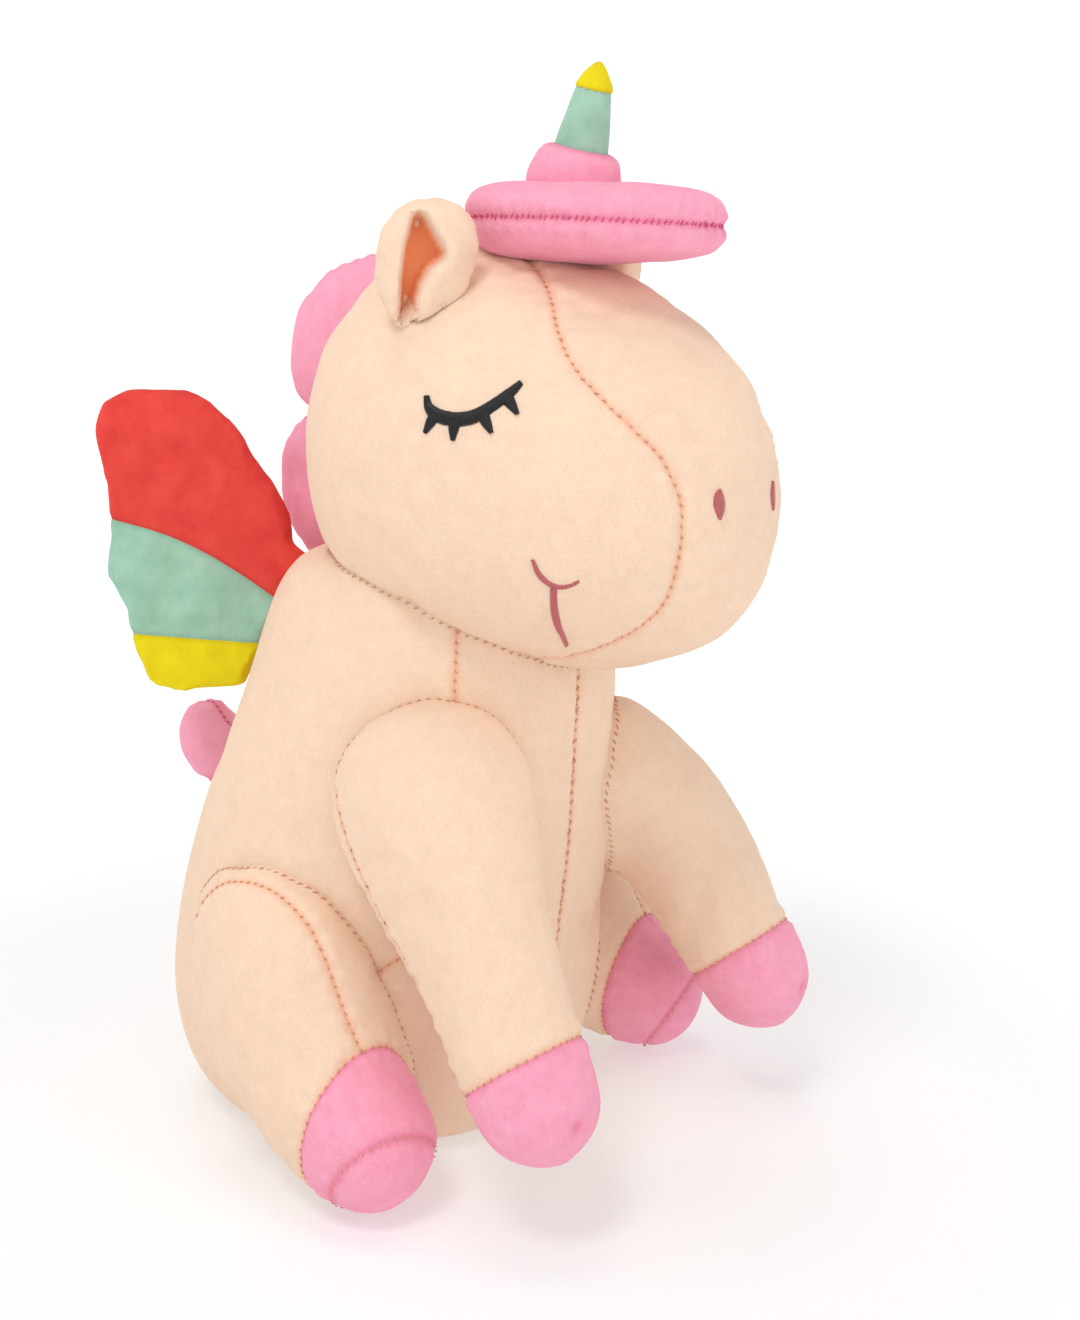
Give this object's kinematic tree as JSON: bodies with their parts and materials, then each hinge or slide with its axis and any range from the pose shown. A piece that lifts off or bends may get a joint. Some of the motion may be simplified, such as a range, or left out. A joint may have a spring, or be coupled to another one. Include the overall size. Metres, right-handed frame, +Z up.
{
  "type": "plush unicorn",
  "caption": "Seated plush unicorn with a stuffed head and torso, drooping arms, short legs, padded wings, mane, forelock, banded horn and curled tail",
  "frame": {"origin": "centre of the flat seat that the toy rests on", "axes": "+Z up, the face looks along -Y, the toy's own right side is -X"},
  "size_m": [0.1734, 0.213, 0.2999],
  "materials": {
    "cream_velour": "short, dense velour pile",
    "pink_velour": "short, dense velour pile",
    "coral_fabric": "smooth knitted velour",
    "mint_fabric": "smooth knitted velour",
    "yellow_fabric": "smooth knitted velour",
    "black_thread": "satin-stitched embroidery thread",
    "rose_thread": "satin-stitched embroidery thread",
    "filling": "polyester fibre filling"
  },
  "bodies": {
    "torso": {"torso_front_right": "cream_velour", "torso_front_left": "cream_velour", "torso_back_right": "cream_velour", "torso_back_left": "cream_velour", "torso_seat": "cream_velour", "torso_fill": "filling"},
    "neck": {"neck_fill": "filling"},
    "head": {"head_side_right": "cream_velour", "head_side_left": "cream_velour", "head_gusset": "cream_velour", "head_fill": "filling", "eyelashes_right": "black_thread", "eyelashes_left": "black_thread", "mouth_right": "rose_thread", "mouth_left": "rose_thread", "nostril_right": "rose_thread", "nostril_left": "rose_thread", "mane_upper_cover": "pink_velour", "mane_upper_fill": "filling"},
    "mane": {"mane_lower_cover": "pink_velour", "mane_lower_fill": "filling"},
    "ear_right": {"ear_right_outer": "cream_velour", "ear_right_lining": "cream_velour"},
    "ear_left": {"ear_left_outer": "cream_velour", "ear_left_lining": "cream_velour"},
    "forelock": {"forelock_top": "pink_velour", "forelock_bottom": "pink_velour", "forelock_fill": "filling"},
    "horn": {"horn_base_band": "pink_velour", "horn_middle_band": "mint_fabric", "horn_tip_band": "yellow_fabric", "horn_fill": "filling"},
    "arm_right": {"arm_right_outer": "cream_velour", "arm_right_inner": "cream_velour", "arm_right_hoof": "pink_velour", "arm_right_fill": "filling"},
    "arm_left": {"arm_left_outer": "cream_velour", "arm_left_inner": "cream_velour", "arm_left_hoof": "pink_velour", "arm_left_fill": "filling"},
    "leg_right": {"leg_right_outer": "cream_velour", "leg_right_inner": "cream_velour", "leg_right_hoof": "pink_velour", "leg_right_fill": "filling"},
    "leg_left": {"leg_left_outer": "cream_velour", "leg_left_inner": "cream_velour", "leg_left_hoof": "pink_velour", "leg_left_fill": "filling"},
    "wing_right": {"wing_right_upper_band": "coral_fabric", "wing_right_middle_band": "mint_fabric", "wing_right_lower_band": "yellow_fabric", "wing_right_padding": "filling"},
    "wing_left": {"wing_left_upper_band": "coral_fabric", "wing_left_middle_band": "mint_fabric", "wing_left_lower_band": "yellow_fabric", "wing_left_padding": "filling"},
    "tail": {"tail_cover": "pink_velour", "tail_fill": "filling"}
  },
  "joints": [
    {"name": "neck_turn", "type": "hinge", "parent": "torso", "child": "neck", "pos_m": [0, -0.026, 0.122], "axis": [0, 0, 1], "range_deg": [-5, 5], "stiffness_Nm_per_rad": 1.5},
    {"name": "head_nod", "type": "hinge", "parent": "neck", "child": "head", "pos_m": [0, -0.026, 0.166], "axis": [1, 0, 0], "range_deg": [-6, 6], "stiffness_Nm_per_rad": 4},
    {"name": "ear_right_flop", "type": "hinge", "parent": "head", "child": "ear_right", "pos_m": [-0.038, -0.044, 0.236], "axis": [-0.8336, 0.5524, 0], "range_deg": [-15, 15], "stiffness_Nm_per_rad": 0.1},
    {"name": "ear_left_flop", "type": "hinge", "parent": "head", "child": "ear_left", "pos_m": [0.038, -0.044, 0.236], "axis": [-0.8336, -0.5524, 0], "range_deg": [-15, 15], "stiffness_Nm_per_rad": 0.1},
    {"name": "mane_sway", "type": "hinge", "parent": "head", "child": "mane", "pos_m": [0, 0.014, 0.186], "axis": [0, 0, 1], "range_deg": [-8, 8], "stiffness_Nm_per_rad": 0.1},
    {"name": "forelock_flex", "type": "hinge", "parent": "head", "child": "forelock", "pos_m": [0, -0.046, 0.258], "axis": [1, 0, 0], "range_deg": [-12, 3], "stiffness_Nm_per_rad": 0.8},
    {"name": "horn_lean", "type": "hinge", "parent": "forelock", "child": "horn", "pos_m": [0, -0.064, 0.269], "axis": [1, 0, 0], "range_deg": [-10, 10], "stiffness_Nm_per_rad": 0.15},
    {"name": "arm_right_swing", "type": "hinge", "parent": "torso", "child": "arm_right", "pos_m": [-0.04, -0.045, 0.109], "axis": [-0.7071, -0.7071, 0], "range_deg": [-12, 25], "stiffness_Nm_per_rad": 1},
    {"name": "arm_left_swing", "type": "hinge", "parent": "torso", "child": "arm_left", "pos_m": [0.04, -0.045, 0.109], "axis": [-0.7071, 0.7071, 0], "range_deg": [-12, 25], "stiffness_Nm_per_rad": 1},
    {"name": "leg_right_raise", "type": "hinge", "parent": "torso", "child": "leg_right", "pos_m": [-0.049, -0.002, 0.048], "axis": [-0.9292, -0.3697, 0], "range_deg": [0, 20], "stiffness_Nm_per_rad": 1.5},
    {"name": "leg_left_raise", "type": "hinge", "parent": "torso", "child": "leg_left", "pos_m": [0.049, -0.002, 0.048], "axis": [-0.9292, 0.3697, 0], "range_deg": [0, 20], "stiffness_Nm_per_rad": 1.5},
    {"name": "wing_right_flap", "type": "hinge", "parent": "torso", "child": "wing_right", "pos_m": [-0.016, 0.02, 0.15], "axis": [-0.1, 0.5001, -0.8602], "range_deg": [-8, 8], "stiffness_Nm_per_rad": 0.2},
    {"name": "wing_left_flap", "type": "hinge", "parent": "torso", "child": "wing_left", "pos_m": [0.016, 0.02, 0.15], "axis": [-0.1, -0.5001, 0.8602], "range_deg": [-8, 8], "stiffness_Nm_per_rad": 0.2},
    {"name": "tail_wag", "type": "hinge", "parent": "torso", "child": "tail", "pos_m": [0, 0.056, 0.084], "axis": [0, 0, 1], "range_deg": [-15, 15], "stiffness_Nm_per_rad": 0.2}
  ]
}
